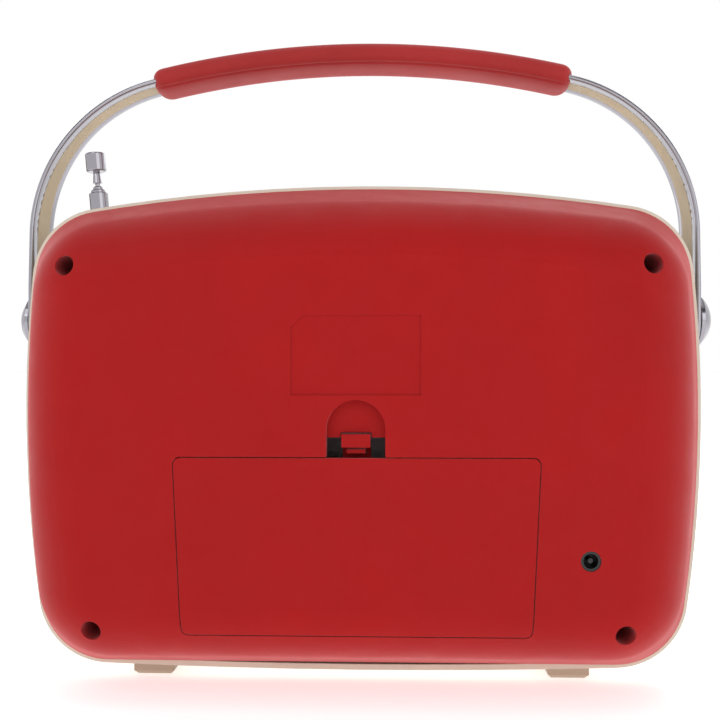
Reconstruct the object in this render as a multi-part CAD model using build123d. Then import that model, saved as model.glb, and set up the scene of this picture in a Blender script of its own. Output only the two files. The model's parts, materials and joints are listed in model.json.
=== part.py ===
from build123d import *
import math
import os

os.makedirs("parts", exist_ok=True)

# Portable radio cassette player, in millimetres.
# It stands on its feet at z = 0, its front faces -Y, and +X is to the right of someone facing the front.

# ---------------------------------------------------------------- case
foot_height = 7.0
case_half_width = 139.4
widest_height = 112.0
side_radius = 578.0
case_top = 204.0
top_radius = 715.0
bottom_corner = 28.5
top_corner = 29.0
belly = 2.0
belly_half_chord = 108.0
wall = 2.4
split_y = 11.0
front_y = -41.0
rear_y = 53.0
rear_draft = 20.0
rear_edge = 24.0
front_draft = 2.0
front_edge = 12.0
rim_step = 1.2
gap = 0.4
fit = 0.05

# ---------------------------------------------------------------- feet
foot_x = 87.0
foot_half = 8.5
foot_fronts = [-33.0, -5.0]
foot_depth = 13.0
foot_chamfer = 1.6

# ---------------------------------------------------------------- case screws
upper_screw_x = case_half_width - 28.7
upper_screw_z = case_top - 35.6
lower_screw_x = case_half_width - 38.9
lower_screw_z = foot_height + 22.9
screw_spots = [
    (-upper_screw_x, upper_screw_z),
    (upper_screw_x, upper_screw_z),
    (-lower_screw_x, lower_screw_z),
    (lower_screw_x, lower_screw_z),
]
screw_well_radius = 3.9
well_wall = 1.6
screw_head_radius = 3.4
screw_head_height = 2.4
screw_cross = 2.4
screw_cross_half = 0.4
screw_radius = 1.5
screw_length = 8.0
well_floor_y = split_y + 3.0
boss_radius = 4.5
boss_front = well_floor_y - screw_length - gap
boss_rib = 1.2

# ---------------------------------------------------------------- battery compartment
door_top = 95.7
door_bottom = 28.8
door_top_half = 68.8
door_bottom_half = 65.6
door_corner = 2.6
cell_radius = 13.1
cell_length = 50.0
cell_rows = [48.5, 76.0]
tub_floor_y = 20.4
tub_lip_y = 41.0
tub_clearance = 1.4
contact_room = 5.0
tongue_spots = [-42.0, 0.0, 42.0]
tongue_width = 14.0

# ---------------------------------------------------------------- door latch and finger recess
recess_half = 11.1
recess_top = 117.5
recess_depth = 4.4
recess_slot_top = 103.2
latch_half = 5.45
latch_pin_y = 38.0
latch_pin_z = 98.0
latch_pin_radius = 0.9
latch_barrel_radius = 1.8
latch_arm_thickness = 1.4
tab_top = 104.7
tab_bottom = 99.6
tab_y = 49.4

# ---------------------------------------------------------------- rear details
label_half = 24.4
label_bottom = 119.3
label_top = 149.3
label_chamfer = 4.5
label_depth = 0.5
jack_x = 52.2 - case_half_width
jack_z = foot_height + 50.8
jack_radius = 3.75
jack_socket_radius = 2.75
jack_pin_radius = 1.0
jack_body = 11.0
jack_depth = 13.0

# ---------------------------------------------------------------- speaker
speaker_x = -72.0
speaker_z = 96.0
grille_radius = 48.0
ring_width = 4.0
ring_stand = 1.6
speaker_radius = 52.0
basket_depth = 22.0
magnet_radius = 24.0
magnet_depth = 13.0
slot_pitch = 5.0
slot_width = 2.4

# ---------------------------------------------------------------- dial and knobs
dial_half = 70.0
dial_bottom = case_top - 51.0
dial_top = case_top - 25.0
dial_ticks = 25
tick_half = 0.3
tick_height = 3.5
long_tick_height = 6.0
pointer_travel = 60.0
pointer_thickness = 0.8
knob_x = case_half_width - 44.4
knob_z = case_top - 38.0
knob_radius = 15.0
knob_depth = 12.0
shaft_radius = 3.0
pot_radius = 11.0
pot_depth = 12.0
gang_half = 11.0
gang_depth = 18.0

# ---------------------------------------------------------------- sliders and headphone socket
slider_z = 30.0
function_x = -80.0
band_x = -44.0
slider_travel = 5.0
slider_button = 8.0
phone_x = 21.4 - case_half_width
phone_z = 48.0
phone_radius = 1.8

# ---------------------------------------------------------------- keys
key_count = 5
key_first_x = -4.0
key_width = 21.4
key_gap = 1.2
key_top = 50.5
key_bottom = 36.0
key_front_y = -49.0
key_back_y = -22.0
key_rod_y = -26.0
key_rod_z = 45.0
key_rod_radius = 1.5
key_bore_clearance = 0.08
key_names = ["key_pause", "key_stop", "key_rewind", "key_forward", "key_play"]

# ---------------------------------------------------------------- cassette deck
bay_x = 51.0
hub_z = 100.8
hub_spacing = 42.5
cassette_bottom = 66.2
cassette_width = 100.4
door_half = 61.0
cover_bottom = 63.0
cover_top = 140.0
cover_thickness = 3.0
cover_hinge_y = -36.5
cover_hinge_z = 65.6
cover_pin_radius = 1.5
cheek_depth = 12.0
cheek_width = 3.0
deck_y = -22.0
deck_thickness = 1.6
deck_left = -19.0
deck_right = 121.0
deck_bottom = 52.0
deck_top = 148.0
post_radius = 3.0
capstan_x = bay_x + 23.5
capstan_z = 74.5
capstan_radius = 1.0
flywheel_radius = 20.0
flywheel_front = -2.0
flywheel_thickness = 6.0
flywheel_hub = 5.0
takeup_wheel = 9.0
wheel_thickness = 4.0
wheel_front = -19.6
wheel_gap = 0.3
spindle_radius = 3.6
spindle_tip_y = -33.0
spindle_pin_radius = 1.2
motor_x = 14.0
motor_z = 76.0
motor_radius = 16.0
motor_length = 18.0
motor_pulley = 4.0
belt_radius = 0.8
carriage_x = 46.0
carriage_half = 20.0
carriage_bottom = 53.5
carriage_top = 62.0
carriage_travel = 4.5
guide_half_spacing = 14.0
guide_radius = 1.5
head_half = 7.5
roller_radius = 6.5
roller_width = 7.0
arm_pivot_x = 92.0
arm_pivot_z = 62.2
arm_length = 17.5

# ---------------------------------------------------------------- electronics
board_left = -102.0
board_right = 78.0
board_y = 5.5
board_thickness = 1.6
board_bottom = case_top - 54.0
board_height = 38.0
ferrite_y = -20.0
ferrite_z = case_top - 14.0
ferrite_half = 60.0
ferrite_radius = 5.0
ferrite_coil_radius = 6.2
clip_spots = [-52.0, 49.0]
clip_width = 3.0

# ---------------------------------------------------------------- handle
pad_face_x = case_half_width + rim_step
washer_thickness = 2.2
washer_gap = 0.2
band_thickness = 3.0
pivot_x = pad_face_x + washer_thickness + washer_gap + band_thickness / 2
pivot_y = -16.0
pivot_z = case_top - 53.5
handle_top = case_top + 62.5
handle_crown_radius = 385.0
handle_bend_radius = 69.0
band_half_wide = 14.0
band_half_narrow = 10.0
band_wide_until = pivot_z + 14.5
band_narrow_from = handle_top - 28.5
liner_thickness = 1.4
flange = 5.5
grip_depth = 24.5
grip_height = 10.6
grip_round = 4.9
grip_half_angle = 13.9
grip_end_round = 4.0
shoulder_radius = 4.0
bolt_radius = 2.5
bolt_head_radius = 8.0
bolt_head_height = 2.0
cap_radius = 11.0
cap_height = 6.6
cap_rim = 1.6
washer_radius = 11.0
pad_radius = 13.0

# ---------------------------------------------------------------- antenna
antenna_tip_x = case_half_width - 24.9
antenna_y = 1.0
antenna_tip_z = case_top + 18.0
antenna_lean = 5.0
tube_radii = [4.0, 3.0, 2.0]
tube_wall = 0.9
rod_radius = 1.0
tube_length = 108.0
tip_radius = 4.2
tip_height = 8.0
tip_neck = 5.0
tip_round = 0.7
section_step = 1.4
tube_floor = 1.0
base_top = -(tip_height + tip_neck + 3 * section_step)
base_low = base_top - tube_length
bush_radius = 6.2
bush_low = -40.0
bush_high = -28.6
seat_half = 6.0


# ================================================================ helpers
def on_xz(sketch, y):
    """A sketch drawn in X and Z, standing at depth y."""
    return Pos(0, y, 0) * (Plane.XZ * sketch)


def prism(sketch, front, back):
    """A sketch drawn in X and Z, filled between two depths."""
    return extrude(on_xz(sketch, back), amount=back - front)


def block(x0, x1, y0, y1, z0, z1):
    """A box between two corners."""
    centre = Pos((x0 + x1) / 2, (y0 + y1) / 2, (z0 + z1) / 2)
    return centre * Box(abs(x1 - x0), abs(y1 - y0), abs(z1 - z0))


def rod_y(x, z, radius, front, back):
    """A cylinder along Y."""
    return Pos(x, (front + back) / 2, z) * Rot(90, 0, 0) * Cylinder(radius, back - front)


def rod_x(y, z, radius, left, right):
    """A cylinder along X."""
    return Pos((left + right) / 2, y, z) * Rot(0, 90, 0) * Cylinder(radius, right - left)


def tube_y(x, z, outer, inner, front, back):
    """A tube along Y."""
    return rod_y(x, z, outer, front, back) - rod_y(x, z, inner, front - 1, back + 1)


def group(pieces):
    """Separate solids kept together in one part."""
    return Compound(children=list(pieces))


def save(name, shape):
    """Write one part."""
    export_step(shape, f"parts/{name}.step")


# ================================================================ case shape
def case_outline(grow=0.0, corner_grow=0.0, bottom_bulge=0.0):
    """The case seen from the front: bowed sides, a domed top and four round corners."""
    side = side_radius + grow
    dome = top_radius + grow
    bottom = foot_height - bottom_bulge - grow
    side_x = case_half_width - side_radius
    outline = (Pos(side_x, widest_height) * Rot(0, 0, 180) * Circle(side))
    outline = outline & (Pos(-side_x, widest_height) * Circle(side))
    outline = outline & (Pos(0, case_top - top_radius) * Rot(0, 0, -90) * Circle(dome))
    if bottom_bulge > 0:
        bow = belly_half_chord ** 2 / (2 * bottom_bulge)
        outline = outline & (Pos(0, bottom + bow) * Rot(0, 0, 90) * Circle(bow))
    else:
        tall = 2 * case_top
        outline = outline & (Pos(0, bottom + tall / 2) * Rectangle(2 * tall, tall))
    outline = fillet(outline.vertices().sort_by(Axis.Y)[:2], bottom_corner + corner_grow)
    return fillet(outline.vertices().sort_by(Axis.Y)[-2:], top_corner + corner_grow)


def drafted_block(grow, bulge, open_y, end_y, draft, edge):
    """The outline drawn from the split to one face, leaning in by the draft, with a rounded far edge."""
    lean = abs(end_y - open_y) * math.tan(math.radians(draft))
    near = on_xz(case_outline(grow, grow, bulge), open_y)
    far = on_xz(case_outline(grow - lean, grow, bulge), end_y)
    body = loft([near, far], ruled=True)
    levels = body.edges().group_by(Axis.Y)
    rim = levels[-1] if end_y > open_y else levels[0]
    return fillet(rim, edge)


def rear_solid(inset=0.0):
    """The rear half of the case as a solid, or its hollow when inset is the wall."""
    return drafted_block(-inset, 0, split_y, rear_y - inset, rear_draft, rear_edge - inset)


def front_solid(inset=0.0):
    """The front half of the case as a solid, or its hollow when inset is the wall."""
    return drafted_block(rim_step - inset, belly, split_y, front_y + inset, front_draft, front_edge - inset)


def door_sketch(grow=0.0):
    """The battery door seen square on: a trapezoid with small round corners."""
    corners = [
        (-door_bottom_half, door_bottom),
        (door_bottom_half, door_bottom),
        (door_top_half, door_top),
        (-door_top_half, door_top),
    ]
    face = make_face(Polyline(*corners, close=True))
    face = fillet(face.vertices(), door_corner)
    if grow:
        face = offset(face, amount=grow)
    return face


# ================================================================ rear half
def pocket_sketch(grow=0.0):
    """The finger recess above the battery door, with an arched top."""
    half = recess_half + grow
    straight = Pos(0, (door_top + recess_top - recess_half) / 2)
    shaft = straight * Rectangle(2 * half, recess_top - recess_half - door_top)
    return shaft + Pos(0, recess_top - recess_half) * Circle(half)


def battery_tub():
    """Open box around the cells, standing in from the battery door."""
    half = cell_length + contact_room + wall
    low = cell_rows[0] - cell_radius - tub_clearance - wall
    high = cell_rows[-1] + cell_radius + tub_clearance + wall
    outer = block(-half, half, tub_floor_y, tub_lip_y, low, high)
    inner = block(-half + wall, half - wall, tub_floor_y + wall, tub_lip_y + 1, low + wall, high - wall)
    return outer - inner


def screw_wells():
    """Tubes that take the case screws down to the split."""
    wells = Part()
    for x, z in screw_spots:
        wells += rod_y(x, z, screw_well_radius + well_wall, split_y, rear_y)
    return wells


def make_rear_shell(outer, hollow):
    """Rear half of the case, with battery tub, screw wells, finger recess and jack hole."""
    half = cell_length + contact_room + wall
    tub_high = cell_rows[-1] + cell_radius + tub_clearance + wall
    pocket_floor = rear_y - recess_depth
    shell = outer - hollow
    inside = screw_wells()
    inside += prism(offset(pocket_sketch(), amount=wall), pocket_floor - wall, rear_y)
    for x in (-half, half - wall):
        inside += block(x, x + wall, tub_floor_y, rear_y, door_top + gap, tub_high + 2 * wall)
        inside += block(x, x + wall, tub_floor_y, tub_lip_y, tub_high - wall, tub_high + 2 * wall)
    shell += inside & outer
    shell += battery_tub()
    shell -= prism(door_sketch(gap), tub_lip_y, rear_y + 10)
    shell -= prism(pocket_sketch(), pocket_floor, rear_y + 10)
    slot_top = tab_top + gap
    shell -= block(-recess_half, recess_half, latch_pin_y - 3, rear_y, door_top - gap, recess_slot_top)
    slot_half = latch_half + gap
    shell -= block(-slot_half, slot_half, latch_pin_y - 3, rear_y, tub_high - 2 * wall, slot_top)
    for x, z in screw_spots:
        shell -= rod_y(x, z, screw_well_radius, well_floor_y, rear_y + 1)
        shell -= rod_y(x, z, screw_radius + gap, split_y - 1, well_floor_y + 1)
    shell -= rod_y(jack_x, jack_z, jack_radius + fit, split_y, rear_y + 1)
    shell -= prism(label_sketch(), rear_y - label_depth, rear_y + 1)
    for x in tongue_spots:
        lip = tongue_width / 2 + 1
        shell -= block(x - lip, x + lip, tub_lip_y - 1, rear_y - 5, door_bottom - 1, door_bottom + 3)
    return shell


def label_sketch():
    """Shallow panel above the recess, with one cut corner."""
    corners = [
        (-label_half, label_bottom),
        (label_half, label_bottom),
        (label_half, label_top - label_chamfer),
        (label_half - label_chamfer, label_top),
        (-label_half, label_top),
    ]
    return make_face(Polyline(*corners, close=True))


def make_battery_door(outer, hollow):
    """Door cut from the curve of the rear wall, with three tongues and a latch bracket."""
    door = (outer - hollow) & prism(door_sketch(), tub_lip_y, rear_y + 10)
    skin = rear_y - wall
    for x in tongue_spots:
        w = tongue_width / 2
        neck = block(x - w, x + w, skin - 7, skin, door_bottom + 0.6, door_bottom + 3.4)
        hook = block(x - w, x + w, skin - 7, skin - 5, door_bottom - 4.6, door_bottom + 3.4)
        door += (neck + hook) & hollow
    foot_low = latch_pin_z - 8.0
    foot = block(-latch_half, latch_half, latch_pin_y - 1.2, skin, foot_low, foot_low + latch_arm_thickness)
    stem = block(-latch_half, latch_half, latch_pin_y - 1.2, latch_pin_y + 1.2, foot_low, latch_pin_z)
    notch = rod_x(latch_pin_y, latch_pin_z, latch_barrel_radius + 0.3, -latch_half + 1.6, latch_half - 1.6)
    pin = rod_x(latch_pin_y, latch_pin_z, latch_pin_radius, -latch_half, latch_half)
    return door + foot + (stem - notch) + pin


def make_battery_latch():
    """Springy finger tab on its own pin, reaching out into the finger recess."""
    width = latch_half - 1.9
    arm_low = latch_pin_z - latch_arm_thickness / 2
    arm = block(-width, width, latch_pin_y, tab_y, arm_low, arm_low + latch_arm_thickness)
    barrel = rod_x(latch_pin_y, latch_pin_z, latch_barrel_radius, -width, width)
    tab = block(-latch_half, latch_half, tab_y, tab_y + 1.6, tab_bottom, tab_top)
    tab = fillet(tab.edges().filter_by(Axis.X).group_by(Axis.Z)[-1], 0.6)
    bore = rod_x(latch_pin_y, latch_pin_z, latch_pin_radius + fit, -latch_half, latch_half)
    return arm + barrel + tab - bore


def make_case_screws():
    """Four screws from the rear wells into the bosses of the front half."""
    screws = []
    for x, z in screw_spots:
        head = rod_y(x, z, screw_head_radius, well_floor_y, well_floor_y + screw_head_height)
        low = well_floor_y + screw_head_height / 2
        for half_x, half_z in ((screw_cross, screw_cross_half), (screw_cross_half, screw_cross)):
            head -= block(x - half_x, x + half_x, low, low + screw_head_height, z - half_z, z + half_z)
        shank = rod_y(x, z, screw_radius, well_floor_y - screw_length, well_floor_y)
        screws.append(head + shank)
    return group(screws)


def make_batteries():
    """Four round cells in two rows, each with its raised end."""
    cells = []
    y = tub_floor_y + wall + cell_radius + 0.6
    for row, z in enumerate(cell_rows):
        turn = 1 if row == 0 else -1
        for left in (-cell_length - 0.2, 0.2):
            body = rod_x(y, z, cell_radius, left + 1.5, left + cell_length - 1.5)
            ends = body.edges().filter_by(GeomType.CIRCLE)
            body = fillet(ends, 1.0)
            tip = left + cell_length - 1.5 if turn > 0 else left
            body += rod_x(y, z, 3.6, tip, tip + 1.5)
            cells.append(body)
    return group(cells)


def make_battery_contacts():
    """A plate with a coil cone for each outer end of the cells."""
    plates = []
    y = tub_floor_y + wall + cell_radius + 0.6
    inside = cell_length + contact_room
    for side in (-1, 1):
        for z in cell_rows:
            face = side * inside
            plate = block(face - side * 0.5, face, y - 9, y + 9, z - 9, z + 9)
            reach = contact_room - 0.5 - 1.8
            cone = Pos(face - side * (0.5 + reach / 2), y, z)
            cone = cone * Rot(0, -90 * side, 0) * Cone(6.0, 3.2, reach)
            plates.append(plate + cone)
    return group(plates)


def make_dc_jack():
    """Power inlet: a block behind the wall, a round socket and a centre pin."""
    face = rear_y - 0.6
    back = rear_y - wall
    h = jack_body / 2
    body = block(jack_x - h, jack_x + h, back - jack_depth, back, jack_z - h, jack_z + h)
    body += rod_y(jack_x, jack_z, jack_radius, back - 1, face)
    body -= rod_y(jack_x, jack_z, jack_socket_radius, back - 9, face + 1)
    pin = rod_y(jack_x, jack_z, jack_pin_radius, back - 9.5, face - 1)
    return body + pin


# ================================================================ front half
def make_feet(case):
    """Four chamfered pads under the case."""
    pads = []
    for x in (-foot_x, foot_x):
        for front in foot_fronts:
            pad = block(x - foot_half, x + foot_half, front, front + foot_depth, 0, foot_height + 3)
            low = pad.faces().sort_by(Axis.Z)[0].edges()
            pad = chamfer(low, foot_chamfer)
            pads.append(pad - case)
    return group(pads)


def deck_posts():
    """Centres of the four posts that carry the deck plate."""
    inset = 4.0
    return [
        (x, z)
        for x in (deck_left + inset, deck_right - inset)
        for z in (deck_bottom + inset, deck_top - inset)
    ]


def front_openings():
    """Everything cut through the front wall."""
    cut_front = front_y - 5
    cut_back = front_y + wall + 2
    holes = rod_y(speaker_x, speaker_z, grille_radius + fit, cut_front, cut_back)
    left = bay_x - door_half - gap
    right = bay_x + door_half + gap
    holes += block(left, right, cut_front, cut_back, cover_bottom - 3.4, cover_top + gap)
    keys_right = key_first_x + key_count * (key_width + key_gap)
    holes += block(key_first_x - key_gap, keys_right, cut_front, key_back_y, key_bottom - 5, key_top + gap)
    holes += block(-dial_half - fit, dial_half + fit, cut_front, cut_back, dial_bottom - fit, dial_top + fit)
    for x in (-knob_x, knob_x):
        holes += rod_y(x, knob_z, shaft_radius + gap, cut_front, cut_back)
    for x in (function_x, band_x):
        reach = slider_travel + slider_button / 2 + gap
        holes += block(x - reach, x + reach, cut_front, cut_back, slider_z - 2.4, slider_z + 2.4)
    holes += rod_y(phone_x, phone_z, 4.0 + fit, cut_front, cut_back)
    return holes


def front_bosses():
    """Posts and ears inside the front half."""
    inside = front_y + wall - 0.2
    parts = Part()
    for x, z in screw_spots:
        parts += rod_y(x, z, boss_radius, boss_front, split_y)
        rib = sorted((x, math.copysign(case_half_width, x)))
        parts += block(rib[0], rib[1], boss_front, split_y, z - boss_rib, z + boss_rib)
    for x, z in deck_posts():
        parts += rod_y(x, z, post_radius, inside, deck_y)
    keys_left = key_first_x - key_gap
    keys_right = key_first_x + key_count * (key_width + key_gap)
    for x in (keys_left - 4, keys_right + 0.8):
        parts += block(x, x + 3.2, inside, key_rod_y + 4, key_rod_z - 5, key_rod_z + 5)
    for side in (-1, 1):
        near = bay_x + side * (door_half + gap + 1.6)
        far = near + side * 3.2
        parts += block(near, far, inside, cover_hinge_y + 3, cover_hinge_z - 4, cover_hinge_z + 4)
    for x in clip_spots:
        parts += block(x, x + clip_width, ferrite_y - 7, ferrite_y + 7, ferrite_z - 8, case_top)
    return parts


def antenna_place():
    """Location of the antenna: origin at the tip, local Z pointing up along the tube."""
    return Pos(antenna_tip_x, antenna_y, antenna_tip_z) * Rot(0, antenna_lean, 0)


def antenna_cylinder(radius, low, high):
    """A cylinder on the antenna's axis between two distances below the tip."""
    middle = (low + high) / 2
    return antenna_place() * Pos(0, 0, middle) * Cylinder(radius, high - low)


def make_front_shell(outer, hollow):
    """Front half of the case with its openings, bosses, pivot pads and antenna seat."""
    shell = outer - hollow
    lean = math.radians(antenna_lean)
    seat_x = antenna_tip_x + base_low * math.sin(lean)
    seat_z = antenna_tip_z + base_low * math.cos(lean)
    seat = block(
        seat_x - seat_half - 2,
        case_half_width,
        antenna_y - seat_half,
        antenna_y + seat_half,
        seat_z - seat_half,
        seat_z + seat_half,
    )
    inside = front_bosses() + seat
    for side in (-1, 1):
        ends = sorted((side * (pivot_x - 16), side * (case_half_width - 1)))
        inside += rod_x(pivot_y, pivot_z, 7, ends[0], ends[1])
    shell += inside & outer
    for side in (-1, 1):
        ends = sorted((side * (case_half_width - 4), side * pad_face_x))
        shell += rod_x(pivot_y, pivot_z, pad_radius, ends[0], ends[1])
        hole = sorted((side * (pivot_x - 20), side * (pad_face_x + 1)))
        shell -= rod_x(pivot_y, pivot_z, bolt_radius + fit, hole[0], hole[1])
    shell -= front_openings()
    for x, z in screw_spots:
        shell -= rod_y(x, z, screw_radius + fit, boss_front - 1, split_y + 1)
    shell -= antenna_cylinder(tube_radii[0] + fit, base_low, 20)
    shell -= antenna_cylinder(bush_radius + fit, bush_low, 20)
    rod_ends = key_rod_ends()
    shell -= rod_x(key_rod_y, key_rod_z, key_rod_radius + fit, rod_ends[0], rod_ends[1])
    for side in (-1, 1):
        pin_ends = cover_pin_ends(side)
        shell -= rod_x(cover_hinge_y, cover_hinge_z, cover_pin_radius + fit, pin_ends[0], pin_ends[1])
    shell -= rod_x(ferrite_y, ferrite_z, ferrite_radius + fit, -ferrite_half, ferrite_half)
    return shell


def make_antenna_bush():
    """Collar that guides the antenna through the top of the case."""
    collar = antenna_cylinder(bush_radius, bush_low, bush_high)
    collar = fillet(collar.edges().group_by(Axis.Z)[-1], 0.8)
    return collar - antenna_cylinder(tube_radii[0] + fit, bush_low - 5, bush_high + 5)


def cover_pin_ends(side):
    """Left and right end of one of the cassette door's two hinge pins."""
    inner = bay_x + side * (door_half - 3.0)
    outer = bay_x + side * (door_half + gap + 4.8)
    return sorted((inner, outer))


def make_door_pins():
    """The two short pins that the cassette door turns on."""
    pins = []
    for side in (-1, 1):
        ends = cover_pin_ends(side)
        pins.append(rod_x(cover_hinge_y, cover_hinge_z, cover_pin_radius, ends[0], ends[1]))
    return group(pins)


def make_grille_ring():
    """Bright ring around the speaker opening."""
    outer = grille_radius + ring_width
    ring = tube_y(speaker_x, speaker_z, outer, grille_radius - 0.5, front_y - ring_stand, front_y)
    edge = ring.edges().filter_by(GeomType.CIRCLE).group_by(Axis.Y)[0]
    return fillet(edge, 0.7)


def make_speaker_grille():
    """Slotted disc that fills the speaker opening."""
    disc = rod_y(speaker_x, speaker_z, grille_radius, front_y, front_y + 1.6)
    count = int(grille_radius / slot_pitch)
    slots = Sketch()
    for i in range(-count, count + 1):
        x = i * slot_pitch
        half = math.sqrt((grille_radius - 4) ** 2 - min(abs(x), grille_radius - 5) ** 2)
        for low, high in ((-half, -2), (2, half)):
            if high - low > slot_width * 1.5:
                slot = Pos(x, (low + high) / 2) * Rectangle(slot_width, high - low)
                slots += slot
    return disc - prism(Pos(speaker_x, speaker_z) * slots, front_y - 1, front_y + 3)


def turned(profile, x, z):
    """Turn a closed outline of (radius, y) points about an axis along Y."""
    face = make_face(Polyline(*[(r, y) for r, y in profile], close=True))
    return Pos(x, 0, z) * revolve(face, Axis.Y)


def make_speaker_basket():
    """Pressed frame: a flange behind the front wall, a cone and a rear plate."""
    f = front_y + wall
    b = f + basket_depth
    profile = [
        (speaker_radius, f), (speaker_radius, f + 1.6), (45.0, f + 1.6), (24.0, b),
        (14.0, b), (14.0, b - 1.6), (23.0, b - 1.6), (44.0, f),
    ]
    return turned(profile, speaker_x, speaker_z)


def make_speaker_cone():
    """Paper cone with a dust cap, inside the frame."""
    f = front_y + wall
    profile = [
        (0.0, f + 9.0), (8.0, f + 10.6), (12.5, f + 14.0), (40.0, f + 2.4), (43.0, f + 0.9),
        (43.0, f + 0.2), (39.0, f + 1.2), (13.0, f + 12.6), (8.6, f + 9.6), (0.0, f + 7.8),
    ]
    return turned(profile, speaker_x, speaker_z)


def make_speaker_magnet():
    """Ring magnet with its plates, behind the frame."""
    b = front_y + wall + basket_depth
    magnet = rod_y(speaker_x, speaker_z, magnet_radius - 1.5, b, b + magnet_depth)
    magnet += rod_y(speaker_x, speaker_z, magnet_radius, b + 2, b + magnet_depth - 2)
    return magnet


def make_dial_scale():
    """Card with tick marks behind the dial window."""
    card = block(-dial_half - 3, dial_half + 3, front_y + 7, front_y + 8, dial_bottom - 3, dial_top + 3)
    step = 2 * pointer_travel / (dial_ticks - 1)
    for i in range(dial_ticks):
        x = -pointer_travel + i * step
        tall = long_tick_height if i % 4 == 0 else tick_height
        low = dial_bottom + 9
        card += block(x - tick_half, x + tick_half, front_y + 6.8, front_y + 7.5, low, low + tall)
    for x in (-dial_half - 2, dial_half + 2):
        card += block(x - 0.9, x + 0.9, front_y + wall, front_y + 7.5, dial_bottom + 8, dial_top - 8)
    return card


def make_dial_window():
    """Clear pane set flush into the front wall."""
    pane = block(-dial_half, dial_half, front_y, front_y + 1.6, dial_bottom, dial_top)
    inner = front_y + wall
    back = block(-dial_half - 1, dial_half + 1, inner, inner + 1, dial_bottom - 1, dial_top + 1)
    mid = block(-dial_half, dial_half, front_y + 1.6, inner, dial_bottom, dial_top)
    frame = back + mid
    frame -= block(-dial_half + 2, dial_half - 2, front_y + 1.6, front_y + 6, dial_bottom + 2, dial_top - 2)
    return pane + frame


def make_dial_pointer():
    """Thin upright needle with its foot."""
    y = front_y + wall + 2
    needle = block(-0.5, 0.5, y, y + pointer_thickness, dial_bottom + 2, dial_top - 2)
    return needle + block(-3, 3, y, y + 1.2, dial_bottom + 1.5, dial_bottom + 5)


def make_knob(x):
    """Fluted knob on its shaft."""
    face = front_y - knob_depth
    knob = rod_y(x, knob_z, knob_radius, face, front_y - 0.8)
    knob = fillet(knob.edges().filter_by(GeomType.CIRCLE).group_by(Axis.Y)[0], 2.0)
    flutes = 24
    for i in range(flutes):
        angle = 2 * math.pi * i / flutes
        cx = x + (knob_radius + 0.5) * math.cos(angle)
        cz = knob_z + (knob_radius + 0.5) * math.sin(angle)
        knob -= rod_y(cx, cz, 1.3, face + 2.5, front_y)
    knob -= block(x - 0.6, x + 0.6, face - 1, face + 0.7, knob_z + 4, knob_z + 12)
    return knob + rod_y(x, knob_z, shaft_radius, front_y - 1, front_y + 14)


def make_volume_pot():
    """Round control behind the wall, bored for the shaft."""
    f = front_y + wall
    pot = rod_y(-knob_x, knob_z, pot_radius, f, f + pot_depth)
    pot += block(-knob_x - 6, -knob_x + 6, f + 2, f + 4, knob_z - pot_radius - 5, knob_z)
    return pot - rod_y(-knob_x, knob_z, shaft_radius + fit, f - 1, f + pot_depth - 0.4)


def make_tuning_gang():
    """Square tuning capacitor behind the wall, bored for the shaft."""
    f = front_y + wall
    h = gang_half
    gang = block(knob_x - h, knob_x + h, f, f + gang_depth, knob_z - h, knob_z + h)
    gang = chamfer(gang.edges().filter_by(Axis.Y), 1.5)
    return gang - rod_y(knob_x, knob_z, shaft_radius + fit, f - 1, f + gang_depth - 2)


def make_slider(x):
    """Small slide button with a wide foot inside the wall."""
    h = slider_button / 2
    button = block(x - h, x + h, front_y - 2.5, front_y + wall + 1, slider_z - 2, slider_z + 2)
    for i in range(-1, 2):
        rib = x + 2 * i
        button -= block(rib - 0.4, rib + 0.4, front_y - 3, front_y - 2, slider_z - 3, slider_z + 3)
    f = front_y + wall + 0.3
    return button + block(x - h - 5, x + h + 5, f, f + 1.2, slider_z - 5, slider_z + 5)


def make_headphone_jack():
    """Socket block behind the wall with a round nose through it."""
    f = front_y + wall
    body = block(phone_x - 5, phone_x + 5, f, f + 14, phone_z - 5, phone_z + 5)
    body += rod_y(phone_x, phone_z, 4.0, front_y - 0.5, f)
    return body - rod_y(phone_x, phone_z, phone_radius, front_y - 1, f + 12)


# ================================================================ keys
def make_key(index):
    """One piano key, bored for the rod that all the keys turn on."""
    left = key_first_x + index * (key_width + key_gap)
    right = left + key_width
    corners = [
        (key_back_y, key_bottom + 3), (key_back_y, key_top - 2), (front_y - 1, key_top),
        (key_front_y, key_top - 2.5), (key_front_y, key_bottom + 1), (front_y, key_bottom),
    ]
    side = make_face(Polyline(*corners, close=True))
    key = extrude(Pos(left, 0, 0) * (Plane.YZ * side), amount=right - left)
    front = key.edges().filter_by(Axis.X).group_by(Axis.Y)[0]
    key = fillet(front, 0.9)
    return key - rod_x(key_rod_y, key_rod_z, key_rod_radius + key_bore_clearance, left - 1, right + 1)


def key_rod_ends():
    """Left and right end of the rod that the keys turn on."""
    keys_right = key_first_x + key_count * (key_width + key_gap)
    return key_first_x - key_gap - 4, keys_right + 4


def make_key_rod():
    """Steel rod through all the keys and both ears."""
    ends = key_rod_ends()
    return rod_x(key_rod_y, key_rod_z, key_rod_radius, ends[0], ends[1])


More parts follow.
